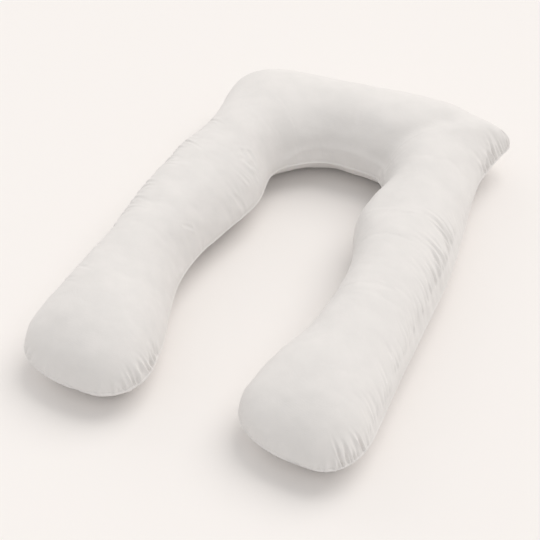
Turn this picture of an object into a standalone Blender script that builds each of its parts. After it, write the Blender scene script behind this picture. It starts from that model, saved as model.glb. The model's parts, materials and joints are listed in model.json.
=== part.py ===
"""U-shaped body pillow: one filled cushion of two cotton panels, lying on its back.

The pillow is a single closed loft. Its sections follow the U from the tip of the left
foot, up the left leg, along the bar and down the right leg to the tip of the right foot.
Each section reaches from the inner edge of the U to the outer edge, where the top and
bottom panels are sewn together. The top panel rises from that seam to its crown. The
bottom panel falls from it to a flat patch where the filling's weight presses it down.

Frame: metres, +Z up, +Y towards the bar, +X to the right, origin on the surface that the
pillow lies on, under the middle of its outline.
"""

import math
from typing import NamedTuple

import bmesh
import bpy
import numpy as np

COLLECTION_NAME = "body_pillow"
NODE_NAME = "pillow"

# Fabric colour and finish: off-white cotton, matt.
COTTON_COLOUR = (0.831, 0.807, 0.784, 1.0)
COTTON_ROUGHNESS = 0.9

SEAM_HEIGHT = 0.065      # height of the perimeter seam above the surface
ROUNDNESS = 2.2          # superellipse exponent of the outer half and of the feet's outline
UNDERSIDE_REACH = 0.060  # how far in from the seam the bottom panel meets the surface
UNDERSIDE_CURVE = 1.35   # 1 is a straight slope from seam to surface, more is rounder
CREASE_AT = -0.91        # where the inner wall turns into the top, across a section
FOOT_FALL_FROM = -0.370  # y where each leg's crown starts to fall to its foot's tip

TOP_STEPS = 14           # mesh steps across the top panel
BOTTOM_STEPS = 10        # mesh steps across the bottom panel
FOOT_RINGS = 17          # sections between a foot's widest place and its tip
LINE_STEP = 0.0003       # spacing of the points that stand for an edge in soft_distance
NO_LENGTH = 1e-12        # keeps a segment without length from dividing by nothing


class Station(NamedTuple):
    """One named section of the pillow, from the inner to the outer edge of the U."""

    place: str
    outer_x: float
    outer_y: float
    inner_x: float
    inner_y: float
    lift: float      # how far the outer seam is drawn up above SEAM_HEIGHT
    crown: float     # height of the top panel above the seam
    lean: float      # shift of the crown towards the outer edge, 0 for none
    wall: float      # height of the steep wall above the inner seam, up to its crease
    inner: float     # superellipse exponent of the inner half above that wall
    ring_gap: float  # spacing of the mesh rings up to the next station


STATIONS = (
    Station("left foot", -0.404, -0.465, -0.108, -0.465, 0.000, 0.117, 0.00, 0.000, 2.00, 0.010),
    Station("left ankle", -0.400, -0.383, -0.121, -0.383, 0.000, 0.119, 0.00, 0.000, 1.80, 0.014),
    Station("left calf", -0.387, -0.294, -0.148, -0.294, 0.000, 0.120, 0.00, 0.000, 1.60, 0.018),
    Station("left knee", -0.375, -0.191, -0.171, -0.191, 0.000, 0.122, 0.00, 0.000, 1.60, 0.014),
    Station("left waist", -0.371, -0.087, -0.168, -0.087, 0.000, 0.122, 0.00, 0.000, 1.60, 0.014),
    Station("left thigh", -0.370, 0.016, -0.144, 0.016, 0.000, 0.121, 0.00, 0.000, 1.60, 0.014),
    Station("left bulge", -0.361, 0.125, -0.119, 0.125, 0.000, 0.120, 0.00, 0.000, 1.60, 0.014),
    Station("left hip", -0.342, 0.246, -0.128, 0.231, 0.000, 0.118, 0.00, 0.000, 1.60, 0.014),
    Station("left notch", -0.326, 0.311, -0.119, 0.256, 0.000, 0.118, 0.00, 0.000, 1.50, 0.018),
    Station("left rise", -0.333, 0.381, -0.105, 0.274, 0.000, 0.119, 0.00, 0.000, 1.40, 0.018),
    Station("left side", -0.337, 0.444, -0.089, 0.288, 0.000, 0.122, 0.00, 0.004, 1.35, 0.018),
    Station("left corner", -0.324, 0.507, -0.073, 0.301, 0.000, 0.126, 0.00, 0.010, 1.20, 0.018),
    Station("left shoulder", -0.252, 0.551, -0.055, 0.312, 0.000, 0.125, 0.05, 0.018, 1.15, 0.018),
    Station("bar left", -0.159, 0.565, -0.036, 0.321, 0.000, 0.122, 0.10, 0.024, 1.15, 0.020),
    Station("bar middle", 0.000, 0.569, 0.000, 0.327, 0.000, 0.122, 0.10, 0.026, 1.15, 0.020),
    Station("bar right", 0.110, 0.586, 0.035, 0.326, 0.000, 0.122, 0.10, 0.026, 1.15, 0.020),
    Station("right shoulder", 0.195, 0.590, 0.060, 0.325, 0.000, 0.124, 0.08, 0.023, 1.20, 0.018),
    Station("right rise", 0.262, 0.581, 0.082, 0.321, 0.001, 0.126, 0.05, 0.018, 1.30, 0.015),
    Station("right turn", 0.321, 0.566, 0.098, 0.316, 0.005, 0.127, 0.00, 0.010, 1.42, 0.012),
    Station("right corner", 0.359, 0.544, 0.108, 0.310, 0.010, 0.125, 0.00, 0.004, 1.58, 0.010),
    Station("right gather", 0.351, 0.512, 0.113, 0.304, 0.006, 0.121, 0.00, 0.000, 1.75, 0.009),
    Station("right side", 0.339, 0.460, 0.123, 0.297, 0.002, 0.117, 0.00, 0.000, 1.95, 0.009),
    Station("right notch", 0.332, 0.400, 0.134, 0.284, 0.000, 0.115, 0.00, 0.000, 2.10, 0.014),
    Station("right hip", 0.339, 0.325, 0.143, 0.256, 0.000, 0.113, 0.00, 0.000, 2.20, 0.018),
    Station("right bulge", 0.354, 0.230, 0.132, 0.205, 0.000, 0.113, 0.00, 0.000, 2.20, 0.018),
    Station("right thigh", 0.370, 0.126, 0.126, 0.126, 0.000, 0.115, 0.00, 0.000, 2.20, 0.010),
    Station("right waist", 0.380, 0.016, 0.159, 0.016, 0.000, 0.120, 0.00, 0.000, 2.20, 0.010),
    Station("right knee", 0.383, -0.086, 0.172, -0.086, 0.000, 0.122, 0.00, 0.000, 2.20, 0.010),
    Station("right calf", 0.386, -0.189, 0.167, -0.189, 0.000, 0.121, 0.00, 0.000, 2.20, 0.015),
    Station("right shin", 0.389, -0.291, 0.150, -0.291, 0.000, 0.119, 0.00, 0.000, 2.20, 0.015),
    Station("right ankle", 0.394, -0.380, 0.117, -0.380, 0.000, 0.119, 0.00, 0.000, 2.20, 0.010),
    Station("right foot", 0.398, -0.462, 0.102, -0.462, 0.000, 0.117, 0.00, 0.000, 2.20, 0.010),
)

# Columns of a ring, which holds a station's measures without its name.
OUTER_EDGE = slice(0, 2)
INNER_EDGE = slice(2, 4)
OUTER_X = 0
INNER_X = 2
EDGES_Y = slice(1, 4, 2)
LIFT = 4
CROWN = 5
LEAN = 6
WALL = 7
INNER_ROUNDNESS = 8


class Foot(NamedTuple):
    """The rounded end of a leg, beyond its last station."""

    tip_x: float
    length: float


LEFT_FOOT = Foot(tip_x=-0.217, length=0.114)
RIGHT_FOOT = Foot(tip_x=0.309, length=0.130)
LEFT_TIP = "left tip"
RIGHT_TIP = "right tip"


class Gather(NamedTuple):
    """A row of puckers that the seam pulls into the top panel."""

    edge: slice      # OUTER_EDGE or INNER_EDGE
    start: str       # station or tip where the row starts
    end: str         # station or tip where it ends
    count: int
    depth: float
    length: float    # how far the puckers run up from the seam


GATHERS = (
    Gather(INNER_EDGE, LEFT_TIP, "left ankle", 8, 0.0065, 0.075),
    Gather(OUTER_EDGE, LEFT_TIP, "left foot", 6, 0.0045, 0.060),
    Gather(OUTER_EDGE, "left knee", "left notch", 10, 0.0050, 0.120),
    Gather(OUTER_EDGE, "right corner", "right notch", 6, 0.0055, 0.090),
    Gather(OUTER_EDGE, "right thigh", "right calf", 11, 0.0065, 0.080),
    Gather(OUTER_EDGE, "right ankle", RIGHT_TIP, 9, 0.0070, 0.085),
    Gather(INNER_EDGE, "right foot", RIGHT_TIP, 6, 0.0045, 0.060),
)
PUCKER_RISE = 0.008       # length over which a pucker deepens beyond the seam
PUCKER_FADE = 1.2         # how fast it runs out up the panel, 1 is evenly
PUCKER_SWELL = 0.5        # how fast a row's puckers deepen from its ends
PUCKER_DRIFT = 1.1        # unevenness of their spacing, in radians
PUCKER_DRIFT_RATE = 0.37  # how often that unevenness repeats, in turns for each pucker


class Fold(NamedTuple):
    """A soft trough in the top panel, along a line seen from above."""

    start: tuple
    end: tuple
    width: float
    depth: float


FOLDS = (
    Fold(start=(-0.086, 0.330), end=(-0.165, 0.450), width=0.050, depth=0.004),
    Fold(start=(0.130, 0.345), end=(0.215, 0.460), width=0.040, depth=0.008),
)


def clear_scene():
    """Remove every object of the scene."""
    for old in list(bpy.data.objects):
        bpy.data.objects.remove(old, do_unlink=True)


def station_rows():
    """Return the stations' measures, one row each, and their positions along the U."""
    rows = np.array([station[1:] for station in STATIONS])
    outer_steps = np.linalg.norm(np.diff(rows[:, OUTER_EDGE], axis=0), axis=1)
    inner_steps = np.linalg.norm(np.diff(rows[:, INNER_EDGE], axis=0), axis=1)
    knots = np.concatenate(([0.0], np.cumsum((outer_steps + inner_steps) / 2)))
    return rows, knots, outer_steps


def blend(rows, slopes, knots, index, fraction):
    """Return the row at a fraction of the way from one station to the next."""
    span = knots[index + 1] - knots[index]
    square = fraction ** 2
    cube = fraction ** 3
    return (
        (2 * cube - 3 * square + 1) * rows[index]
        + (cube - 2 * square + fraction) * span * slopes[index]
        + (3 * square - 2 * cube) * rows[index + 1]
        + (cube - square) * span * slopes[index + 1]
    )


def leg_rings():
    """Return the rings from foot to foot and the place of each, counted in stations."""
    rows, knots, outer_steps = station_rows()
    slopes = np.gradient(rows, knots, axis=0)
    rings = []
    places = []
    for index, outer_step in enumerate(outer_steps):
        count = max(1, round(outer_step / STATIONS[index].ring_gap))
        for step in range(count):
            rings.append(blend(rows, slopes, knots, index, step / count))
            places.append(index + step / count)
    rings.append(rows[-1])
    places.append(len(rows) - 1.0)
    return rings, places


def foot_rings(last_ring, foot):
    """Return a foot's rings, from just beyond its widest place to just before its tip."""
    rings = []
    for step in range(1, FOOT_RINGS):
        angle = math.pi / 2 * step / FOOT_RINGS
        narrowing = math.cos(angle) ** (2 / ROUNDNESS)
        ring = last_ring.copy()
        ring[OUTER_X] = foot.tip_x + (ring[OUTER_X] - foot.tip_x) * narrowing
        ring[INNER_X] = foot.tip_x + (ring[INNER_X] - foot.tip_x) * narrowing
        ring[EDGES_Y] -= foot.length * math.sin(angle) ** (2 / ROUNDNESS)
        rings.append(ring)
    return rings


def foot_fall(rings, tip_y):
    """Return the share of its crown that each ring of a leg keeps on its way to the tip."""
    outer_y = rings[:, OUTER_EDGE][:, 1]
    run = np.clip((outer_y - FOOT_FALL_FROM) / (tip_y - FOOT_FALL_FROM), 0, 1)
    return np.sqrt(1 - run ** 2)


def all_rings():
    """Return every ring from tip to tip and its place, counted in stations."""
    rings, places = leg_rings()
    left = foot_rings(rings[0], LEFT_FOOT)[::-1]
    right = foot_rings(rings[-1], RIGHT_FOOT)
    beyond = np.arange(1, FOOT_RINGS) / FOOT_RINGS
    places = np.concatenate((-beyond[::-1], places, places[-1] + beyond))
    rings = np.array(left + rings + right)
    middle = len(rings) // 2
    left_tip_y = STATIONS[0].outer_y - LEFT_FOOT.length
    right_tip_y = STATIONS[-1].outer_y - RIGHT_FOOT.length
    rings[:middle, CROWN:WALL + 1:2] *= foot_fall(rings[:middle], left_tip_y)[:, None]
    rings[middle:, CROWN:WALL + 1:2] *= foot_fall(rings[middle:], right_tip_y)[:, None]
    return rings, places


def top_places():
    """Return the places of the top panel's points across a section, outer edge first.

    The steps beside the two seams are halved, to give the puckers points of their own.
    """
    angles = np.linspace(0, math.pi, TOP_STEPS + 1)
    halfway = angles[1] / 2
    angles = np.sort(np.append(angles, (halfway, math.pi - halfway)))
    cosines = np.cos(angles)
    return np.sign(cosines) * np.abs(cosines) ** (2 / ROUNDNESS)


def bottom_places():
    """Return the places across a section where the bottom panel has points."""
    angles = np.linspace(math.pi, 0, BOTTOM_STEPS + 1)[1:-1]
    return np.cos(angles)


def place_points(ring, across):
    """Return the plan points of a ring at the given places across it."""
    outer = ring[OUTER_EDGE]
    inner = ring[INNER_EDGE]
    return (outer + inner) / 2 + np.outer(across, (outer - inner) / 2)


def fine_line(corners):
    """Return closely spaced points on a line and the length that each stands for."""
    steps = np.linalg.norm(np.diff(corners, axis=0), axis=1)
    along = np.concatenate(([0.0], np.cumsum(steps)))
    count = int(along[-1] / LINE_STEP)
    middles = (np.arange(count) + 0.5) * along[-1] / count
    line = np.column_stack([np.interp(middles, along, column) for column in corners.T])
    return line, along[-1] / count


def soft_distance(plan, corners):
    """Return each point's distance to a line, less where the line bends round the point.

    Along a straight line this is the plain distance. In a corner both sides count, so a
    crown that is made from it rounds the corner and thins towards its tip.
    """
    line, step = fine_line(corners)
    away = np.linalg.norm(plan[:, None, :] - line, axis=2)
    return np.sqrt(2 / (step / away ** 3).sum(axis=1))


def nearness_to_inner(rings, plan):
    """Return each top point's place between the seams: 0 at the inner one, 2 at the outer."""
    places = []
    for points in plan:
        to_outer = soft_distance(points[1:-1], rings[:, OUTER_EDGE])
        to_inner = soft_distance(points[1:-1], rings[:, INNER_EDGE])
        places.append(np.concatenate(([2.0], 2 * to_inner / (to_outer + to_inner), [0.0])))
    return np.array(places)


def rise_above_seam(rings, plan, across):
    """Return how far the top panel rises above the seams' height at each plan point."""
    nearness = nearness_to_inner(rings, plan)
    lean = rings[:, LEAN, None]
    crown = rings[:, CROWN, None]
    wall = rings[:, WALL, None]
    shape = nearness ** (1 + lean) * (2 - nearness) ** (1 - lean)
    shape /= (1 + lean) ** (1 + lean) * (1 - lean) ** (1 - lean)
    outer_half = crown * shape ** (1 / ROUNDNESS)
    up_wall = np.minimum(1, (1 + across) / (1 + CREASE_AT))
    inner_half = (crown - wall) * shape ** (1 / rings[:, INNER_ROUNDNESS, None])
    inner_half += wall * up_wall
    return np.where(nearness < 1 + lean, inner_half, outer_half)


def nearest_on_line(points, starts, ends):
    """Return each point's distance to the given segments and how far along them it is nearest."""
    along = ends - starts
    lengths = np.linalg.norm(along, axis=1)
    offsets = points[:, None, :] - starts
    squared = np.maximum(lengths ** 2, NO_LENGTH)
    fractions = np.clip((offsets * along).sum(axis=2) / squared, 0, 1)
    away = np.linalg.norm(offsets - fractions[..., None] * along, axis=2)
    nearest = away.argmin(axis=1)
    rows = np.arange(len(points))
    passed = np.cumsum(lengths) - lengths
    return away[rows, nearest], passed[nearest] + fractions[rows, nearest] * lengths[nearest]


def fold_depth(points):
    """Return how far the folds lower the top panel at each plan point."""
    depth = np.zeros(len(points))
    for fold in FOLDS:
        away, _ = nearest_on_line(points, np.array([fold.start]), np.array([fold.end]))
        depth += fold.depth * np.exp(-(away / fold.width) ** 2)
    return depth


def seam_height(rings, across):
    """Return the height that the seams at both ends of each section give its points."""
    return SEAM_HEIGHT + rings[:, LIFT, None] * (1 + across) / 2


def top_points(rings):
    """Return each ring's points across the top panel."""
    across = top_places()
    plan = np.array([place_points(ring, across) for ring in rings])
    rise = rise_above_seam(rings, plan, across)
    folds = fold_depth(plan.reshape(-1, 2)).reshape(rise.shape)
    folds[:, [0, -1]] = 0
    return np.dstack((plan, seam_height(rings, across) + rise - folds))


def bottom_points(rings):
    """Return each ring's points across the bottom panel, back to the outer edge."""
    across = bottom_places()
    seam_line = np.concatenate((rings[:, OUTER_EDGE], rings[::-1, INNER_EDGE]))
    seam_ends = np.roll(seam_line, -1, axis=0)
    plan = np.array([place_points(ring, across) for ring in rings])
    away, _ = nearest_on_line(plan.reshape(-1, 2), seam_line, seam_ends)
    fall = np.maximum(0, 1 - away / UNDERSIDE_REACH) ** UNDERSIDE_CURVE
    return np.dstack((plan, seam_height(rings, across) * fall.reshape(plan.shape[:2])))


def place_of(name):
    """Return a station's place along the U; the feet's tips lie one beyond the ends."""
    if name == LEFT_TIP:
        return -1.0
    if name == RIGHT_TIP:
        return float(len(STATIONS))
    return float([station.place for station in STATIONS].index(name))


def gather_depths(gather, places, seam_along, away, along):
    """Return how far one row of puckers draws in each top point.

    The points are given by their distance from the seam and the place along it that is
    nearest to them, so the puckers run straight away from it, round the feet as well.
    """
    ring_count = len(places)
    outer = gather.edge == OUTER_EDGE
    edge_along = seam_along[:ring_count] if outer else seam_along[ring_count:][::-1]
    named = (place_of(gather.start), place_of(gather.end))
    start, end = sorted(np.interp(named, places, edge_along))
    run = np.clip((along - start) / (end - start), 0, 1)
    turns = 2 * math.pi * gather.count * run
    drift = PUCKER_DRIFT * np.sin(PUCKER_DRIFT_RATE * turns)
    wave = (1 - np.cos(turns + drift)) / 2 * np.sin(math.pi * run) ** PUCKER_SWELL
    rise = np.minimum(1, away / PUCKER_RISE)
    fade = np.maximum(0, 1 - away / gather.length) ** PUCKER_FADE
    return gather.depth * wave * rise * fade


def pucker_depths(places, top):
    """Return how far each top point is drawn in by the puckers along the seam."""
    seam = np.concatenate((top[:, 0], top[::-1, -1]))
    seam_ends = np.roll(seam, -1, axis=0)
    steps = np.linalg.norm(seam_ends - seam, axis=1)
    seam_along = np.cumsum(steps) - steps
    away, along = nearest_on_line(top.reshape(-1, 3), seam, seam_ends)
    depths = np.zeros(len(away))
    for gather in GATHERS:
        depths += gather_depths(gather, places, seam_along, away, along)
    return depths.reshape(top.shape[:2])


def loft(points):
    """Return a bmesh that closes the rings into one body, and its grid of vertices."""
    ring_size = points.shape[1]
    shell = bmesh.new()
    grid = [[shell.verts.new(point) for point in ring] for ring in points]
    for ring, following in zip(grid, grid[1:]):
        for slot in range(ring_size):
            after = (slot + 1) % ring_size
            shell.faces.new((ring[slot], ring[after], following[after], following[slot]))
    ends = (
        (LEFT_FOOT, STATIONS[0], grid[0]),
        (RIGHT_FOOT, STATIONS[-1], grid[-1]),
    )
    for foot, station, ring in ends:
        tip = shell.verts.new((foot.tip_x, station.outer_y - foot.length, SEAM_HEIGHT))
        for slot in range(ring_size):
            shell.faces.new((ring[slot], ring[(slot + 1) % ring_size], tip))
    bmesh.ops.recalc_face_normals(shell, faces=shell.faces)
    shell.normal_update()
    return shell, grid


def press_puckers(grid, depths):
    """Move each top point in along its normal by its pucker's depth."""
    moves = [
        (vert, vert.normal * depth)
        for ring, ring_depths in zip(grid, depths)
        for vert, depth in zip(ring, ring_depths)
        if depth > 0
    ]
    for vert, move in moves:
        vert.co -= move


def centre_outline(shell):
    """Bring the middle of the outline over the origin."""
    places = np.array([vert.co[:2] for vert in shell.verts])
    middle = (places.min(axis=0) + places.max(axis=0)) / 2
    bmesh.ops.translate(shell, verts=shell.verts, vec=(-middle[0], -middle[1], 0))


def cotton():
    """Return the off-white cotton of the panels."""
    material = bpy.data.materials.new("cotton")
    material.use_nodes = True
    shader = material.node_tree.nodes["Principled BSDF"]
    shader.inputs["Base Color"].default_value = COTTON_COLOUR
    shader.inputs["Roughness"].default_value = COTTON_ROUGHNESS
    shader.inputs["Metallic"].default_value = 0.0
    return material


def build_pillow(collection):
    """Make the pillow and link it to the collection."""
    rings, places = all_rings()
    top = top_points(rings)
    shell, grid = loft(np.concatenate((top, bottom_points(rings)), axis=1))
    press_puckers(grid, pucker_depths(places, top))
    centre_outline(shell)
    mesh = bpy.data.meshes.new(NODE_NAME)
    shell.to_mesh(mesh)
    shell.free()
    mesh.shade_smooth()
    mesh.materials.append(cotton())
    pillow = bpy.data.objects.new(NODE_NAME, mesh)
    collection.objects.link(pillow)
    return pillow


def main():
    """Build the pillow in an empty scene."""
    clear_scene()
    collection = bpy.data.collections.new(COLLECTION_NAME)
    bpy.context.scene.collection.children.link(collection)
    build_pillow(collection)


if __name__ == "__main__":
    main()
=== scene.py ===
"""Looks of a U-shaped body pillow: two cotton panels, sewn together round a soft filling.

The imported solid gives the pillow's size, outline and main shape. This script lays a fine
skin over it, lets the cloth swell on its filling, gathers and creases it along the seam,
and gives it the finish of washed cotton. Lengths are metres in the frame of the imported
solid: +Z up, +Y towards the bar of the U, +X to the right.
"""

import json
import logging
import math
from collections.abc import Iterator
from contextlib import contextmanager
from dataclasses import dataclass

import bmesh
import bpy
import numpy as np
from mathutils import Matrix, Vector, noise
from mathutils.kdtree import KDTree

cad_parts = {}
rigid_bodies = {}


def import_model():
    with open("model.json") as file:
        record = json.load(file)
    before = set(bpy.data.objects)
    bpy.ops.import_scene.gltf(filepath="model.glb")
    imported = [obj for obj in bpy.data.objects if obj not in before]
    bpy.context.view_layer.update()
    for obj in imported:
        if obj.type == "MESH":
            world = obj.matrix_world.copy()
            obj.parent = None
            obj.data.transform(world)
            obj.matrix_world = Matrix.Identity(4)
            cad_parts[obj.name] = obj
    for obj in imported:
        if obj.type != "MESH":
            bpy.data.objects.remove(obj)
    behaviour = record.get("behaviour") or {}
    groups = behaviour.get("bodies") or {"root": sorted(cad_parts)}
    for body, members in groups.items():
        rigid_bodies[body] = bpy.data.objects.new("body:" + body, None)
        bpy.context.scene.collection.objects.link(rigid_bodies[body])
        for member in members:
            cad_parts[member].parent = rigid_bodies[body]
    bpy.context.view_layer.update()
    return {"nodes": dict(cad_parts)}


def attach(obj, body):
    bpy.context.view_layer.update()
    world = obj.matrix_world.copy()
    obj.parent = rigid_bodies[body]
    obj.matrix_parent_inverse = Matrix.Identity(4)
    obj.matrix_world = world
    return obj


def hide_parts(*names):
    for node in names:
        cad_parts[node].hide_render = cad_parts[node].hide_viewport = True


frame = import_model()
LOG = logging.getLogger("body_pillow")

PHOTO_PIXELS = 540
MILLIMETRE = 0.001

# Radians that Blender's wave node runs through over one unit of its scaled coordinate.
WAVE_RADIANS = 20

# Which of Blender's mix node's outputs carries a colour.
MIX_COLOUR = 2

# A trough's shoulders are this many half widths from its middle, and neither the trough nor
# a shoulder shows any more at the second number of half widths.
SHOULDER_AWAY = 2
TROUGH_END = 4

# Length that stands in for nothing where a length divides.
TINY = 1e-9


def linear(colour: str) -> tuple[float, float, float, float]:
    """Turn an sRGB hex colour into linear light.

    Args:
        colour: Six hex digits, such as "f7f2ee".

    Returns:
        Red, green, blue and an alpha of 1.
    """
    shares = [int(colour[start:start + 2], 16) / 255 for start in (0, 2, 4)]
    return tuple(
        share / 12.92 if share <= 0.04045 else ((share + 0.055) / 1.055) ** 2.4
        for share in shares
    ) + (1.0,)


def make_active(piece: bpy.types.Object) -> None:
    """Select one object alone and make it the active one."""
    for shown in bpy.context.view_layer.objects:
        shown.select_set(False)
    piece.select_set(True)
    bpy.context.view_layer.objects.active = piece


@contextmanager
def editing(piece: bpy.types.Object) -> Iterator[None]:
    """Hold one object in edit mode for the length of a block."""
    make_active(piece)
    bpy.ops.object.mode_set(mode="EDIT")
    yield
    bpy.ops.object.mode_set(mode="OBJECT")


def rows_of(
    parts: bpy.types.bpy_prop_collection, name: str, width: int, kind: type = float
) -> np.ndarray:
    """Read one property of a mesh's parts.

    Args:
        parts: The mesh's vertices, edges or faces.
        name: The property.
        width: How many numbers each part has for it.
        kind: What kind of numbers they are.

    Returns:
        One row of numbers for each part.
    """
    values = np.empty(len(parts) * width, dtype=kind)
    parts.foreach_get(name, values)
    return values.reshape(-1, width)


def points_of(mesh: bpy.types.Mesh) -> np.ndarray:
    """Return a mesh's vertices, one row each."""
    return rows_of(mesh.vertices, "co", 3)


def normals_of(mesh: bpy.types.Mesh) -> np.ndarray:
    """Return the normals of a mesh's vertices, one row each."""
    return rows_of(mesh.vertex_normals, "vector", 3)


def edges_of(mesh: bpy.types.Mesh) -> np.ndarray:
    """Return the two vertices of each edge of a mesh, one row each."""
    return rows_of(mesh.edges, "vertices", 2, np.int64)


def move_points(mesh: bpy.types.Mesh, points: np.ndarray) -> None:
    """Put a mesh's vertices at new places."""
    mesh.vertices.foreach_set("co", points.astype(np.float32).ravel())
    mesh.update()


def smooth_step(share: np.ndarray) -> np.ndarray:
    """Ease a share from 0 to 1, and keep it there beyond."""
    held = np.clip(share, 0, 1)
    return held * held * (3 - 2 * held)


def bell(away: np.ndarray, width: float = 1.0) -> np.ndarray:
    """Return a bell curve, which is 1 in its middle and 0.37 at its width."""
    return np.exp(-(away / width) ** 2)


def trough(across: np.ndarray, shoulder: float) -> np.ndarray:
    """Give the depth of a trough that is 1 deep, and of the shoulders beside it.

    Args:
        across: Distance from the trough's middle, in half widths.
        shoulder: Height of the shoulders.

    Returns:
        The depths, below nothing on the shoulders.
    """
    return bell(across) - shoulder * bell(np.abs(across) - SHOULDER_AWAY)


def averaged(values: np.ndarray, edges: np.ndarray, rounds: int) -> np.ndarray:
    """Average each vertex's values with its neighbours' a number of times.

    Args:
        values: One row for each vertex.
        edges: The two vertices of each edge.
        rounds: How often to average, which sets how broad the result is.

    Returns:
        The averaged rows.
    """
    count = len(values)
    shared = np.bincount(edges.ravel(), minlength=count)[:, None]
    for _ in range(rounds):
        sums = np.column_stack([
            np.bincount(edges[:, 0], column[edges[:, 1]], count)
            + np.bincount(edges[:, 1], column[edges[:, 0]], count)
            for column in values.T
        ])
        values = (values + sums / shared) / 2
    return values


def direction(azimuth: float, elevation: float) -> Vector:
    """Give the way from the pillow towards a lamp or the camera.

    Args:
        azimuth: Angle round the pillow, in degrees from -Y towards +X.
        elevation: Angle above the horizon, in degrees.

    Returns:
        A vector of length 1.
    """
    turn = math.radians(azimuth)
    rise = math.radians(elevation)
    return Vector((
        math.sin(turn) * math.cos(rise), -math.cos(turn) * math.cos(rise), math.sin(rise)
    ))


def add_node(
    tree: bpy.types.NodeTree, kind: str, inputs: dict | None = None, **settings: object
) -> bpy.types.Node:
    """Add a node with its settings and inputs.

    Args:
        tree: The tree that it goes into.
        kind: Its kind, such as ShaderNodeBump.
        inputs: For each input's name or number, a value or the socket that feeds it.
        settings: The node's own settings.

    Returns:
        The node.
    """
    node = tree.nodes.new(kind)
    for name, setting in settings.items():
        setattr(node, name, setting)
    for name, value in (inputs or {}).items():
        sockets = [node.inputs[name]] if isinstance(name, int) else [
            socket for socket in node.inputs if socket.name == name and socket.enabled
        ]
        if isinstance(value, bpy.types.NodeSocket):
            tree.links.new(value, sockets[0])
        else:
            sockets[0].default_value = value
    return node


def combine(
    tree: bpy.types.NodeTree,
    operation: str,
    first: bpy.types.NodeSocket,
    second: bpy.types.NodeSocket,
) -> bpy.types.NodeSocket:
    """Join two values in a material.

    Args:
        tree: The material's nodes.
        operation: What is done with them, such as ADD.
        first: The first value's socket.
        second: The second value's socket.

    Returns:
        The result's socket.
    """
    node = add_node(tree, "ShaderNodeMath", {0: first, 1: second}, operation=operation)
    return node.outputs[0]


def beside_path(
    points: np.ndarray, path: tuple[tuple[float, ...], ...]
) -> tuple[np.ndarray, np.ndarray]:
    """Measure points from a path, in plan or, where the path gives heights, in space.

    Args:
        points: One row for each point.
        path: Places along the path.

    Returns:
        How far each point is from the path, below nothing on its right, and how far along
        the path it is from the nearer end.
    """
    measures = len(path[0])
    nearest = np.full(len(points), np.inf)
    along = np.zeros(len(points))
    done = 0.0
    for start, end in zip(path, path[1:]):
        run = np.subtract(end, start)
        length = np.linalg.norm(run)
        offset = points[:, :measures] - start
        share = np.clip(offset @ run / length ** 2, 0, 1)
        away = np.linalg.norm(offset - share[:, None] * run, axis=1)
        left = run[0] * offset[:, 1] >= run[1] * offset[:, 0]
        closer = away < np.abs(nearest)
        nearest[closer] = np.where(left, away, -away)[closer]
        along[closer] = done + length * share[closer]
        done += length
    return nearest, np.minimum(along, done - along)


@dataclass
class Seam:
    """The seam round the pillow.

    Attributes:
        line: The seam's points in order, once round.
        along: How far along the seam each point is.
        length: The seam's whole length.
        tangent: Which way the seam runs at each point.
        tree: Index of the points, to find the nearest one.
    """

    line: np.ndarray

    def __post_init__(self) -> None:
        """Measure the seam and index its points."""
        ahead = np.roll(self.line, -1, axis=0)
        steps = np.linalg.norm(ahead - self.line, axis=1)
        self.along = np.cumsum(steps) - steps
        self.length = steps.sum()
        self.tangent = ahead - np.roll(self.line, 1, axis=0)
        self.tangent /= np.linalg.norm(self.tangent, axis=1)[:, None]
        self.tree = KDTree(len(self.line))
        for index, place in enumerate(self.line):
            self.tree.insert(place, index)
        self.tree.balance()

    def locate(self, points: np.ndarray) -> tuple[np.ndarray, np.ndarray, np.ndarray]:
        """Say where points lie beside the seam.

        Args:
            points: One row for each point.

        Returns:
            How far along the seam each is, how far from it, and whether it is above it.
        """
        nearest = np.array([self.tree.find(place)[1] for place in points])
        offset = points - self.line[nearest]
        along = self.along[nearest] + (offset * self.tangent[nearest]).sum(axis=1)
        return along, np.linalg.norm(offset, axis=1), offset[:, 2] >= 0

    def place_along(self, place: tuple[float, float]) -> float:
        """Return how far along the seam a plan place is."""
        return self.along[np.linalg.norm(self.line[:, :2] - np.array(place), axis=1).argmin()]

    def stretch(
        self, start: tuple[float, float], end: tuple[float, float]
    ) -> tuple[float, float]:
        """Measure a stretch of the seam, the shorter way round.

        Args:
            start: Plan place where it starts.
            end: Plan place where it ends.

        Returns:
            How far along the seam it starts, and how far it runs on, below nothing where it
            runs back.
        """
        begin = self.place_along(start)
        return begin, self.shorter_way(self.place_along(end) - begin)

    def shorter_way(self, distance: np.ndarray | float) -> np.ndarray | float:
        """Return distances along the seam, each counted the shorter way round."""
        return (distance + self.length / 2) % self.length - self.length / 2


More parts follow.
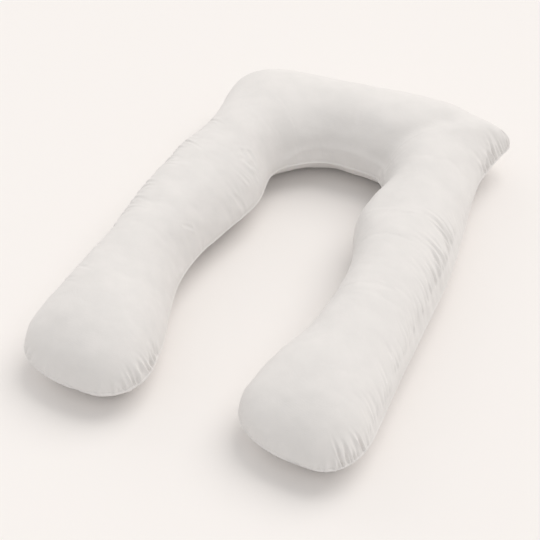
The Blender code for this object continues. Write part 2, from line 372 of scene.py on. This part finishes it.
@dataclass(frozen=True)
class PuckerRow:
    """Short puckers that the stitches gather into the cloth along a stretch of seam.

    Attributes:
        start: Plan place where the row starts, on the seam.
        end: Plan place where it ends, the short way round.
        count: How many puckers there are.
        rise: Distance over which a pucker gets its full depth.
        reach: How far from the seam the longest one runs out.
        width: Half the width of a pucker where it leaves the seam.
        depth: Depth of the deepest one.
        seed: Seed of the row's unevenness.
        lean: How far they lean along the seam as they run out, towards the row's end or,
            below nothing, its start.
        clear: How far from the seam they start, past cloth that lies smooth.
        scatter: How far one may be from its even place, as a share of the spacing.
        depths: Least and greatest depth, as shares of the row's.
        reaches: Least and greatest run past the smooth cloth, as shares of the row's.
        widths: Least and greatest width, as shares of the row's.
        lean_scatter: How far one's lean may be from the row's.
        spread: How much wider a pucker is where it runs out.
        shoulder: Height of the cloth pushed up beside a pucker, as a share of its depth.
    """

    start: tuple[float, float]
    end: tuple[float, float]
    count: int
    rise: float
    reach: float
    width: float
    depth: float
    seed: int
    lean: float = 0.0
    clear: float = 0.0
    scatter: float = 0.42
    depths: tuple[float, float] = (0.3, 1.0)
    reaches: tuple[float, float] = (0.45, 1.0)
    widths: tuple[float, float] = (0.8, 1.4)
    lean_scatter: float = 0.25
    spread: float = 1.3
    shoulder: float = 0.5

    def press(self, seam: Seam, along: np.ndarray, away: np.ndarray) -> np.ndarray:
        """Give how far the row draws in each vertex.

        Args:
            seam: The seam that the row is on.
            along: How far along the seam each vertex is.
            away: How far from the seam each vertex is.

        Returns:
            A depth for each vertex, below nothing on the puckers' shoulders.
        """
        start, run = seam.stretch(self.start, self.end)
        chance = np.random.default_rng(self.seed)
        press = np.zeros(len(along))
        near = away < self.reach
        for number in range(self.count):
            shift = chance.uniform(-self.scatter, self.scatter)
            place = start + run * (number + 0.5 + shift) / self.count
            depth = self.depth * chance.uniform(*self.depths)
            reach = self.clear + (self.reach - self.clear) * chance.uniform(*self.reaches)
            width = self.width * chance.uniform(*self.widths)
            lean = self.lean * math.copysign(1, run)
            lean += chance.uniform(-self.lean_scatter, self.lean_scatter)
            offset = seam.shorter_way(along - place - lean * away)
            across = offset / (width * (1 + self.spread * away / reach))
            close = near & (np.abs(across) < TROUGH_END)
            rise = smooth_step((away[close] - self.clear) / self.rise)
            fade = smooth_step(1 - away[close] / reach)
            press[close] += depth * trough(across[close], self.shoulder) * rise * fade
        return press


@dataclass(frozen=True)
class Crease:
    """A trough that the cloth has taken, with the shoulders that it pushes up.

    Attributes:
        path: Plan places along it.
        width: Half its width.
        depth: Its depth in the middle.
        shoulder: Height of the shoulders, as a share of the depth.
    """

    path: tuple[tuple[float, float], ...]
    width: float
    depth: float
    shoulder: float = 0.5

    def press(self, points: np.ndarray) -> np.ndarray:
        """Return how far the crease presses in each vertex."""
        away, _ = beside_path(points, self.path)
        return self.depth * trough(away / self.width, self.shoulder)


@dataclass(frozen=True)
class Fold:
    """A crisp edge where the cloth turns down over a wall, with a hollow behind it.

    Attributes:
        path: Places along it, from left to right.
        height: How far the edge stands out.
        width: Distance over which it falls away on either side.
        softness: Half the width of the edge's rounding.
        hollow: Depth of the hollow.
        hollow_away: How far behind the edge the hollow is deepest.
        hollow_width: Half the width of the hollow.
        fade: Distance over which the fold dies out at each end.
    """

    path: tuple[tuple[float, float, float], ...]
    height: float
    width: float
    softness: float
    hollow: float
    hollow_away: float
    hollow_width: float
    fade: float

    def rise(self, points: np.ndarray) -> np.ndarray:
        """Return how far the fold stands out at each vertex, below nothing in its hollow."""
        away, inward = beside_path(points, self.path)
        ridge = np.exp((self.softness - np.hypot(away, self.softness)) / self.width)
        hollow = bell(away - self.hollow_away, self.hollow_width)
        ends = smooth_step(inward / self.fade)
        return (self.height * ridge - self.hollow * hollow) * ends


@dataclass(frozen=True)
class Rounding:
    """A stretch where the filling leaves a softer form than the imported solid's.

    Attributes:
        path: Plan places along it.
        width: How far from the path the form is softened.
        rounds: How often it is averaged, which sets how soft it becomes.
    """

    path: tuple[tuple[float, float], ...]
    width: float
    rounds: int


@dataclass(frozen=True)
class Lumps:
    """Hollows and swellings of one size, which the loose filling leaves under the cloth.

    Attributes:
        size: Distance from one lump to the next.
        height: Height of the highest over the deepest hollow.
        shift: Place in the noise that they are taken from, which parts one size's lumps
            from another's.
    """

    size: float
    height: float
    shift: tuple[float, float, float]

    def rise(self, points: np.ndarray) -> np.ndarray:
        """Return how high the lumps stand under each vertex."""
        shift = Vector(self.shift)
        return self.height * np.array([
            noise.noise(Vector(place) / self.size + shift) for place in points
        ])


# Each row gives start, end, count, rise, reach, width, depth and seed, and some give lean
# and clear.
PUCKER_ROWS = (
    # Right leg's outer side.
    PuckerRow((0.352, 0.290), (0.370, 0.140), 8, 0.016, 0.080, 0.0030, 0.0018, 11, -0.3),
    PuckerRow((0.370, 0.150), (0.385, -0.110), 30, 0.016, 0.165, 0.0019, 0.0054, 12, -0.4, 0.040),
    PuckerRow((0.385, -0.110), (0.391, -0.330), 18, 0.016, 0.130, 0.0019, 0.0030, 13, -0.4, 0.030),
    # Right corner.
    PuckerRow((0.359, 0.545), (0.338, 0.420), 20, 0.008, 0.120, 0.0024, 0.0034, 21),
    # Right foot, from its outer side to its inner side.
    PuckerRow((0.396, -0.350), (0.388, -0.490), 12, 0.016, 0.120, 0.0019, 0.0030, 34, -0.3, 0.020),
    PuckerRow((0.390, -0.480), (0.360, -0.572), 11, 0.008, 0.095, 0.0022, 0.0050, 31, 0.1),
    PuckerRow((0.370, -0.560), (0.311, -0.592), 6, 0.006, 0.045, 0.0028, 0.0022, 32),
    PuckerRow((0.110, -0.530), (0.232, -0.588), 12, 0.006, 0.045, 0.0028, 0.0018, 33),
    # Left foot, from its inner side to its outer side.
    PuckerRow((-0.109, -0.415), (-0.125, -0.550), 13, 0.010, 0.080, 0.0026, 0.0044, 41),
    PuckerRow((-0.125, -0.550), (-0.190, -0.577), 5, 0.006, 0.050, 0.0030, 0.0026, 42),
    PuckerRow((-0.400, -0.500), (-0.270, -0.575), 13, 0.006, 0.045, 0.0028, 0.0018, 43),
    # Left leg's outer side.
    PuckerRow((-0.321, 0.330), (-0.368, -0.110), 40, 0.060, 0.180, 0.0017, 0.0070, 51, 0.4, 0.030),
    PuckerRow((-0.368, -0.110), (-0.392, -0.360), 14, 0.060, 0.170, 0.0017, 0.0040, 52, 0.4, 0.030),
    # Both legs' inner sides.
    PuckerRow((-0.121, 0.190), (-0.135, 0.050), 12, 0.020, 0.140, 0.0024, 0.0020, 61, 0.0, 0.050),
    PuckerRow((-0.166, -0.060), (-0.140, -0.320), 9, 0.008, 0.050, 0.0030, 0.0010, 62),
    PuckerRow((0.174, -0.110), (0.120, -0.400), 9, 0.008, 0.050, 0.0030, 0.0010, 63),
)

# Each crease gives path, width and depth, and the broad dent at the right corner a shoulder.
CREASES = (
    Crease(((-0.200, -0.099), (-0.187, -0.082)), 0.0024, 0.0009),
    Crease(((-0.176, 0.178), (-0.166, 0.165)), 0.0045, 0.0014),
    Crease(((-0.164, 0.188), (-0.150, 0.182)), 0.0045, 0.0016),
    Crease(((-0.168, 0.158), (-0.150, 0.162)), 0.0045, 0.0014),
    Crease(((-0.146, 0.174), (-0.134, 0.160)), 0.0045, 0.0014),
    Crease(((-0.112, 0.078), (-0.132, 0.076), (-0.142, 0.071)), 0.0045, 0.0008),
    Crease(((0.114, 0.330), (0.138, 0.362), (0.168, 0.390), (0.220, 0.460)), 0.0240, 0.0090, 0.1),
)

FOLDS = (
    Fold(
        path=(
            (-0.112, 0.268, 0.080),
            (-0.093, 0.292, 0.090),
            (-0.076, 0.311, 0.098),
            (-0.051, 0.325, 0.099),
            (0.001, 0.337, 0.103),
            (0.041, 0.337, 0.104),
            (0.067, 0.335, 0.102),
            (0.092, 0.329, 0.099),
            (0.115, 0.317, 0.097),
            (0.130, 0.299, 0.093),
            (0.136, 0.283, 0.085),
        ),
        height=0.0017,
        width=0.0060,
        softness=0.0006,
        hollow=0.0012,
        hollow_away=0.018,
        hollow_width=0.012,
        fade=0.015,
    ),
)

ROUNDINGS = (
    Rounding(((0.117, 0.345), (0.160, 0.380), (0.236, 0.447)), 0.110, 160),
)

LUMPS = (
    Lumps(0.110, 0.0042, (0.0, 5.0, 3.0)),
    Lumps(0.055, 0.0020, (17.0, 5.0, 3.0)),
    Lumps(0.027, 0.0007, (34.0, 5.0, 3.0)),
)


@dataclass(frozen=True)
class Grain:
    """An uneven pattern of soft patches.

    Attributes:
        size: Distance from one patch to the next.
        layers: How many layers of finer patches lie over them.
    """

    size: float
    layers: float

    def add(
        self, tree: bpy.types.NodeTree, place: bpy.types.NodeSocket
    ) -> bpy.types.NodeSocket:
        """Add the pattern to a material.

        Args:
            tree: The material's nodes.
            place: The piece's own coordinates.

        Returns:
            The socket of a value from 0 to 1.
        """
        patches = add_node(
            tree,
            "ShaderNodeTexNoise",
            {"Vector": place, "Scale": 1 / self.size, "Detail": self.layers},
        )
        return patches.outputs["Fac"]


@dataclass(frozen=True)
class WashedCotton:
    """Plain-woven cotton percale, dyed off-white, washed and not pressed.

    Its fibres scatter nearly all the light, so it looks chalky, with a faint glow where it
    turns away from the eye, and only the gentlest gloss along a tight thread.

    Attributes:
        colour: Colour of most of the cloth.
        shade_colour: Colour where the weave is denser and the dye took more.
        patch: The patches of either colour.
        roughness: How widely the cloth scatters what it mirrors.
        specular: How much it mirrors.
        sheen: Strength of the glow where it turns away from the eye.
        sheen_roughness: How widely that glow spreads.
        thread: Spacing of the threads, drawn eight times as coarse as percale's 0.3 mm,
            so that it shows at all.
        thread_height: How far a thread stands out.
        slub: The stretches over which a thread's thickness changes.
        rumple: The small dents that washing leaves.
        rumple_height: Their depth.
    """

    colour: str = "eae7e5"
    shade_colour: str = "e2e0de"
    patch: Grain = Grain(38 * MILLIMETRE, 3)
    roughness: float = 0.9
    specular: float = 0.2
    sheen: float = 0.1
    sheen_roughness: float = 0.5
    thread: float = 2.4 * MILLIMETRE
    thread_height: float = 0.05 * MILLIMETRE
    slub: Grain = Grain(9 * MILLIMETRE, 2)
    rumple: Grain = Grain(16 * MILLIMETRE, 4)
    rumple_height: float = 0.5 * MILLIMETRE

    def material(self) -> bpy.types.Material:
        """Return the cloth's material, its patterns in the piece's own coordinates."""
        cloth = bpy.data.materials.new("washed_cotton_percale")
        cloth.use_nodes = True
        tree = cloth.node_tree
        shader = tree.nodes["Principled BSDF"]
        shader.inputs["Roughness"].default_value = self.roughness
        shader.inputs["Specular IOR Level"].default_value = self.specular
        shader.inputs["Sheen Weight"].default_value = self.sheen
        shader.inputs["Sheen Roughness"].default_value = self.sheen_roughness
        place = add_node(tree, "ShaderNodeTexCoord").outputs["Object"]
        tree.links.new(self.dye(tree, place), shader.inputs["Base Color"])
        tree.links.new(self.relief(tree, place), shader.inputs["Normal"])
        return cloth

    def dye(
        self, tree: bpy.types.NodeTree, place: bpy.types.NodeSocket
    ) -> bpy.types.NodeSocket:
        """Colour the cloth in soft patches, as dye and weave leave them.

        Args:
            tree: The material's nodes.
            place: The piece's own coordinates.

        Returns:
            The colour's socket.
        """
        blend = add_node(
            tree,
            "ShaderNodeMix",
            {
                "Factor": self.patch.add(tree, place),
                "A": linear(self.shade_colour),
                "B": linear(self.colour),
            },
            data_type="RGBA",
        )
        return blend.outputs[MIX_COLOUR]

    def relief(
        self, tree: bpy.types.NodeTree, place: bpy.types.NodeSocket
    ) -> bpy.types.NodeSocket:
        """Add the fine relief: rumples from the wash, and on them the woven threads.

        Args:
            tree: The material's nodes.
            place: The piece's own coordinates.

        Returns:
            The socket of the surface's normal.
        """
        rumples = self.rumple.add(tree, place)
        dented = add_node(
            tree, "ShaderNodeBump", {"Height": rumples, "Distance": self.rumple_height}
        )
        waves = [self.thread_wave(tree, place, axis) for axis in ("X", "Y", "Z")]
        woven = combine(tree, "ADD", combine(tree, "ADD", waves[0], waves[1]), waves[2])
        uneven = combine(tree, "MULTIPLY", woven, self.slub.add(tree, place))
        threads = add_node(
            tree,
            "ShaderNodeBump",
            {
                "Height": uneven,
                "Distance": self.thread_height,
                "Normal": dented.outputs["Normal"],
            },
        )
        return threads.outputs["Normal"]

    def thread_wave(
        self, tree: bpy.types.NodeTree, place: bpy.types.NodeSocket, axis: str
    ) -> bpy.types.NodeSocket:
        """Return the rise and fall of threads that lie across one axis.

        On the panels' top the waves along X and Y cross, and on their sides the one along
        Z takes the place of the one that no longer changes.

        Args:
            tree: The material's nodes.
            place: The piece's own coordinates.
            axis: X, Y or Z.

        Returns:
            The socket of a wave from 0 to 1.
        """
        scale = math.tau / (WAVE_RADIANS * self.thread)
        wave = add_node(
            tree,
            "ShaderNodeTexWave",
            {"Vector": place, "Scale": scale},
            wave_type="BANDS",
            bands_direction=axis,
        )
        return wave.outputs["Fac"]


@dataclass(frozen=True)
class Swelling:
    """How the cloth swells on its filling, and how much of the swelling is kept.

    Attributes:
        frames: How many steps the cloth is given to swell.
        quality: In how many parts each step is worked out.
        mass: Mass of each of the cloth's points, in kilograms.
        tension: Stiffness against being stretched.
        compression: Stiffness against being pushed together.
        shear: Stiffness against being pulled askew.
        bending: Stiffness against being folded.
        pressure: Push of the filling against the cloth.
        spare_cloth: How much longer and wider the cloth is than the shape that it fills.
        rounds: How often the swelling is averaged to part it from its wrinkles.
        share: How much of the wrinkles is kept, since the cloth is well filled.
        cap: How far a wrinkle may move the cloth.
        seam_clear: Distance from the seam over which the wrinkles set in.
        floor_clear: Height above the floor over which they set in.
    """

    frames: int = 20
    quality: int = 5
    mass: float = 0.2
    tension: float = 20.0
    compression: float = 10.0
    shear: float = 5.0
    bending: float = 0.1
    pressure: float = 4.0
    spare_cloth: float = 0.03
    rounds: int = 40
    share: float = 0.2
    cap: float = 1.2 * MILLIMETRE
    seam_clear: float = 12 * MILLIMETRE
    floor_clear: float = 10 * MILLIMETRE

    def simulate(self, piece: bpy.types.Object, held: list[int]) -> None:
        """Blow a piece of cloth up with Blender's cloth simulation.

        Args:
            piece: The piece.
            held: Its vertices that stay where they are.
        """
        piece.vertex_groups.new(name="held").add(held, 1.0, "REPLACE")
        make_active(piece)
        modifier = piece.modifiers.new("swell", "CLOTH")
        cloth = modifier.settings
        cloth.vertex_group_mass = "held"
        cloth.quality = self.quality
        cloth.mass = self.mass
        cloth.tension_stiffness = self.tension
        cloth.compression_stiffness = self.compression
        cloth.shear_stiffness = self.shear
        cloth.bending_stiffness = self.bending
        cloth.use_pressure = True
        cloth.uniform_pressure_force = self.pressure
        cloth.shrink_min = -self.spare_cloth
        cloth.effector_weights.gravity = 0
        modifier.point_cache.frame_start = 1
        modifier.point_cache.frame_end = self.frames
        for step in range(1, self.frames + 1):
            bpy.context.scene.frame_set(step)
        bpy.ops.object.modifier_apply(modifier=modifier.name)
        bpy.context.scene.frame_set(1)
        piece.vertex_groups.clear()

    def wrinkles(self, change: np.ndarray, edges: np.ndarray) -> np.ndarray:
        """Part the wrinkles from the swelling as a whole, and keep a share of them.

        Args:
            change: How the simulation moved each vertex.
            edges: The two vertices of each edge.

        Returns:
            How far the kept wrinkles move each vertex.
        """
        wrinkle = change - averaged(change, edges, self.rounds)
        size = np.linalg.norm(wrinkle, axis=1)
        LOG.info(
            "swelling: %.1f mm, wrinkles: %.1f mm",
            abs(change).max() / MILLIMETRE,
            size.max() / MILLIMETRE,
        )
        kept = np.minimum(size * self.share, self.cap)
        return wrinkle * (kept / np.maximum(size, TINY))[:, None]


@dataclass
class Pillow:
    """The filled pillow: top panel, bottom panel and the seam that joins them.

    Attributes:
        node: CAD node that the pillow stands for.
        weld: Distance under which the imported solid's loose corners are one point.
        join_angle: Greatest fold and skew at which two triangles become one face.
        flat_height: Height under which the underside lies flat and is held.
        swelling: How the cloth swells on its filling.
        seam_lip: How far the seam's turned-in edge stands out.
        lip_width: Half the width of that edge.
        stitch_depth: Depth of the line of stitches on either side of it.
        stitch_away: How far from the seam that line is.
        fine_margin: How far round puckers, creases and folds the skin is made finer.
        seam_hold: How far the seam's hold reaches into a softened stretch.
        under_share: How deep the gathers are in the bottom panel, as a share of the top's.
        lump_clear: Distance from the seam over which the filling's lumps set in.
        rows: The rows of puckers.
        creases: The creases.
        folds: The folds.
        roundings: The softened stretches.
        lumps: The filling's lumps.
        finish: The cloth's finish.
    """

    node: str = "pillow"
    weld: float = 0.01 * MILLIMETRE
    join_angle: float = math.radians(60)
    flat_height: float = 1 * MILLIMETRE
    swelling: Swelling = Swelling()
    seam_lip: float = 0.8 * MILLIMETRE
    lip_width: float = 1.6 * MILLIMETRE
    stitch_depth: float = 0.9 * MILLIMETRE
    stitch_away: float = 4.5 * MILLIMETRE
    fine_margin: float = 20 * MILLIMETRE
    seam_hold: float = 80 * MILLIMETRE
    under_share: float = 0.6
    lump_clear: float = 35 * MILLIMETRE
    rows: tuple[PuckerRow, ...] = PUCKER_ROWS
    creases: tuple[Crease, ...] = CREASES
    folds: tuple[Fold, ...] = FOLDS
    roundings: tuple[Rounding, ...] = ROUNDINGS
    lumps: tuple[Lumps, ...] = LUMPS
    finish: WashedCotton = WashedCotton()

    def build(self) -> bpy.types.Object:
        """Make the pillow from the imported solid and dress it."""
        pillow = self.copy_solid()
        self.join_triangles(pillow)
        self.mark_seam(pillow)
        self.refine(pillow)
        self.swell(pillow)
        self.refine(pillow)
        self.soften(pillow)
        self.refine_gathers(pillow)
        self.shape_cloth(pillow)
        self.dress(pillow)
        return pillow

    def copy_solid(self) -> bpy.types.Object:
        """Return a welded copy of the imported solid."""
        mesh = frame["nodes"][self.node].data.copy()
        mesh.name = "pillow_cover"
        mesh.materials.clear()
        pillow = bpy.data.objects.new("pillow_cover", mesh)
        bpy.context.scene.collection.objects.link(pillow)
        with editing(pillow):
            bpy.ops.mesh.select_all(action="SELECT")
            bpy.ops.mesh.remove_doubles(threshold=self.weld)
        return pillow

    def join_triangles(self, pillow: bpy.types.Object) -> None:
        """Join the solid's triangles in pairs, except across the seam."""
        self.find_seam(pillow)
        with editing(pillow):
            bpy.ops.mesh.select_all(action="SELECT")
            bpy.ops.mesh.tris_convert_to_quads(
                face_threshold=self.join_angle, shape_threshold=self.join_angle, sharp=True
            )

    def find_seam(self, pillow: bpy.types.Object) -> None:
        """Mark as sharp the loop of edges where the skin turns from up to down."""
        shell = bmesh.new()
        shell.from_mesh(pillow.data)
        shell.normal_update()
        turning = {
            edge
            for edge in shell.edges
            if len({face.normal.z > 0 for face in edge.link_faces}) == 2
        }
        loops = []
        while turning:
            loop = [turning.pop()]
            for edge in loop:
                joined = {
                    other
                    for corner in edge.verts
                    for other in corner.link_edges
                    if other in turning
                }
                turning -= joined
                loop.extend(joined)
            loops.append(loop)
        for edge in max(loops, key=len):
            edge.smooth = False
        shell.to_mesh(pillow.data)
        shell.free()

    def mark_seam(self, pillow: bpy.types.Object) -> None:
        """Keep the seam crisp when the skin is refined."""
        crease = pillow.data.attributes.new("crease_edge", "FLOAT", "EDGE")
        for edge in pillow.data.edges:
            if edge.use_edge_sharp:
                crease.data[edge.index].value = 1.0

    def refine(self, pillow: bpy.types.Object) -> None:
        """Split each face in four and round the skin, keeping the seam crisp."""
        make_active(pillow)
        rounder = pillow.modifiers.new("refine", "SUBSURF")
        rounder.levels = 1
        rounder.render_levels = 1
        bpy.ops.object.modifier_apply(modifier=rounder.name)

    def seam_loop(self, pillow: bpy.types.Object) -> list[int]:
        """Return the seam's vertices in order, once round the pillow."""
        neighbours: dict[int, list[int]] = {}
        for edge in pillow.data.edges:
            if edge.use_edge_sharp:
                start, end = edge.vertices
                neighbours.setdefault(start, []).append(end)
                neighbours.setdefault(end, []).append(start)
        loop = [min(neighbours)]
        visited = set(loop)
        while True:
            onward = [vertex for vertex in neighbours[loop[-1]] if vertex not in visited]
            if not onward:
                return loop
            loop.append(onward[0])
            visited.add(onward[0])

    def swell(self, pillow: bpy.types.Object) -> None:
        """Blow the cloth up on its filling, and keep the wrinkles that it takes.

        The seam and the flat underside are held. The swelling as a whole is taken off
        again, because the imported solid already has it.
        """
        mesh = pillow.data
        rest = points_of(mesh)
        loop = self.seam_loop(pillow)
        held = set(loop) | set(np.flatnonzero(rest[:, 2] < self.flat_height).tolist())
        self.swelling.simulate(pillow, sorted(held))
        wrinkle = self.swelling.wrinkles(points_of(mesh) - rest, edges_of(mesh))
        _, away, _ = Seam(rest[loop]).locate(rest)
        wrinkle *= smooth_step(away / self.swelling.seam_clear)[:, None]
        wrinkle *= smooth_step(rest[:, 2] / self.swelling.floor_clear)[:, None]
        move_points(mesh, rest + wrinkle)

    def soften(self, pillow: bpy.types.Object) -> None:
        """Soften the top along each rounding, away from the seam."""
        mesh = pillow.data
        points = points_of(mesh)
        _, inward, above = Seam(points[self.seam_loop(pillow)]).locate(points)
        free = smooth_step(inward / self.seam_hold) * above
        for rounding in self.roundings:
            away, _ = beside_path(points, rounding.path)
            share = smooth_step(1 - np.abs(away) / rounding.width) * free
            change = averaged(points, edges_of(mesh), rounding.rounds) - points
            points += change * share[:, None]
        move_points(mesh, points)

    def refine_gathers(self, pillow: bpy.types.Object) -> None:
        """Split the top's faces once more where puckers, creases and folds run.

        A bend as broad as the margin, such as the right corner's dent, needs no finer skin.
        """
        mesh = pillow.data
        seam = Seam(points_of(mesh)[self.seam_loop(pillow)])
        centres = rows_of(mesh.polygons, "center", 3)
        along, away, above = seam.locate(centres)
        chosen = np.zeros(len(centres), dtype=bool)
        for row in self.rows:
            start, run = seam.stretch(row.start, row.end)
            offset = seam.shorter_way(along - start - run / 2)
            beside = np.abs(offset) < abs(run) / 2 + self.fine_margin
            chosen |= beside & (away > row.clear - self.fine_margin) & (away < row.reach)
        for bend in self.creases + self.folds:
            if bend.width < self.fine_margin:
                chosen |= np.abs(beside_path(centres, bend.path)[0]) < self.fine_margin
        with editing(pillow):
            bpy.ops.mesh.select_mode(type="FACE")
            bpy.ops.mesh.select_all(action="DESELECT")
        mesh.polygons.foreach_set("select", chosen & above)
        with editing(pillow):
            bpy.ops.mesh.subdivide(number_cuts=1, smoothness=0.0)

    def shape_cloth(self, pillow: bpy.types.Object) -> None:
        """Gather, fold, crease and crumple the skin."""
        mesh = pillow.data
        points = points_of(mesh)
        seam = Seam(points[self.seam_loop(pillow)])
        along, away, above = seam.locate(points)
        press = self.stitch_depths(away)
        press += sum(crease.press(points) for crease in self.creases) * above
        for row in self.rows:
            press += row.press(seam, along, away) * np.where(above, 1, self.under_share)
        out = sum(lumps.rise(points) for lumps in self.lumps)
        out *= smooth_step(away / self.lump_clear)
        for fold in self.folds:
            out += fold.rise(points) * above
        points += normals_of(mesh) * (out - press)[:, None]
        points[:, 2] = np.maximum(points[:, 2], 0)
        move_points(mesh, points)

    def stitch_depths(self, away: np.ndarray) -> np.ndarray:
        """Return how far the stitches draw the cloth in, beside the edge that stands out."""
        lip = self.seam_lip * bell(away, self.lip_width)
        return self.stitch_depth * bell(away - self.stitch_away, self.lip_width) - lip

    def dress(self, pillow: bpy.types.Object) -> None:
        """Give the pillow its finish and its place in the frame."""
        pillow.data.materials.append(self.finish.material())
        pillow.data.shade_smooth()
        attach(pillow, "root")
        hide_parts(self.node)


@dataclass(frozen=True)
class Lamp:
    """A wide soft lamp far away.

    Attributes:
        azimuth: Its direction round the pillow, in degrees from -Y towards +X.
        elevation: Its height above the horizon, in degrees.
        spread: How wide it looks from the pillow, in degrees.
        share: Its share of the light that falls on the floor.
    """

    azimuth: float
    elevation: float
    spread: float
    share: float


@dataclass(frozen=True)
class StudioPaint:
    """Matt off-white paint of a studio's floor, which takes soft shadows and mirrors nothing.

    Attributes:
        colour: Its colour.
        roughness: How widely it scatters what it mirrors.
    """

    colour: str = "f4f1ef"
    roughness: float = 0.9

    def material(self) -> bpy.types.Material:
        """Return the paint's material."""
        paint = bpy.data.materials.new("matt_studio_paint")
        paint.use_nodes = True
        shader = paint.node_tree.nodes["Principled BSDF"]
        shader.inputs["Base Color"].default_value = linear(self.colour)
        shader.inputs["Roughness"].default_value = self.roughness
        return paint


@dataclass
class Studio:
    """The pale floor, the soft light and the camera.

    Attributes:
        floor_paint: Finish of the floor.
        floor_size: Length of the floor's sides.
        floor_gap: How far under the pillow the floor lies, so that their faces don't meet.
        sky_colour: Colour of the light that comes evenly from all round.
        sky_share: Its share of the floor's light.
        lamp_colour: Colour of the lamps' light.
        lamps: The lamps that give the rest.
        azimuth: Camera's direction round the pillow, in degrees from -Y towards +X.
        elevation: Camera's height above the horizon, in degrees.
        distance: Camera's distance from what it looks at.
        target: Point that the camera looks at.
        focus_pixels: Focal length in pixels of the square frame.
        shift_pixels: Where the target lands beside the frame's middle.
        sensor: Width of the camera's sensor, in millimetres.
    """

    floor_paint: StudioPaint = StudioPaint()
    floor_size: float = 24.0
    floor_gap: float = 0.5 * MILLIMETRE
    sky_colour: str = "fffefd"
    sky_share: float = 0.69
    lamp_colour: str = "fffaf5"
    lamps: tuple[Lamp, ...] = (
        Lamp(155, 55, 50, 0.320),
        Lamp(-120, 14, 60, 0.030),
    )
    azimuth: float = 23.17
    elevation: float = 42.73
    distance: float = 4.678
    target: tuple[float, float, float] = (0.012, -0.0955, 0.080)
    focus_pixels: float = 2095.6
    shift_pixels: tuple[float, float] = (0.47, 2.68)
    sensor: float = 36.0

    def build(self) -> None:
        """Set up the floor, the light and the camera."""
        self.lay_floor()
        self.light()
        self.place_camera()

    def lay_floor(self) -> None:
        """Lay a wide pale floor just under the pillow."""
        bpy.ops.mesh.primitive_plane_add(size=self.floor_size, location=(0, 0, -self.floor_gap))
        floor = bpy.context.object
        floor.name = "floor"
        floor.data.materials.append(self.floor_paint.material())

    def light(self) -> None:
        """Light the pillow with an even sky and wide soft lamps."""
        world = bpy.data.worlds.new("even_sky")
        world.use_nodes = True
        sky = world.node_tree.nodes["Background"]
        sky.inputs["Color"].default_value = linear(self.sky_colour)
        sky.inputs["Strength"].default_value = self.sky_share
        bpy.context.scene.world = world
        for lamp in self.lamps:
            self.hang_lamp(lamp)

    def hang_lamp(self, lamp: Lamp) -> None:
        """Hang one lamp, as strong as its share of the floor's light needs."""
        towards = direction(lamp.azimuth, lamp.elevation)
        light = bpy.data.lights.new("soft_lamp", "SUN")
        light.angle = math.radians(lamp.spread)
        light.color = linear(self.lamp_colour)[:3]
        light.energy = math.pi * lamp.share / math.sin(math.radians(lamp.elevation))
        shown = bpy.data.objects.new("soft_lamp", light)
        shown.rotation_euler = towards.to_track_quat("Z", "Y").to_euler()
        bpy.context.scene.collection.objects.link(shown)

    def place_camera(self) -> None:
        """Look at the pillow from the photograph's angle."""
        back = direction(self.azimuth, self.elevation)
        right = direction(self.azimuth + 90, 0)
        lens = bpy.data.cameras.new("camera")
        lens.sensor_width = self.sensor
        lens.lens = self.focus_pixels / PHOTO_PIXELS * self.sensor
        lens.shift_x = -self.shift_pixels[0] / PHOTO_PIXELS
        lens.shift_y = self.shift_pixels[1] / PHOTO_PIXELS
        camera = bpy.data.objects.new("camera", lens)
        pose = Matrix((right, back.cross(right), back)).transposed().to_4x4()
        pose.translation = Vector(self.target) + self.distance * back
        camera.matrix_world = pose
        bpy.context.scene.collection.objects.link(camera)
        bpy.context.scene.camera = camera
        bpy.context.scene.view_settings.view_transform = "Standard"


def main() -> None:
    """Build the pillow and the studio round it."""
    logging.basicConfig(level=logging.INFO, format="%(name)s: %(message)s")
    pillow = Pillow().build()
    LOG.info("pillow_cover: %d faces", len(pillow.data.polygons))
    Studio().build()
    LOG.info("studio: floor, lamps and camera")


if __name__ == "__main__":
    main()
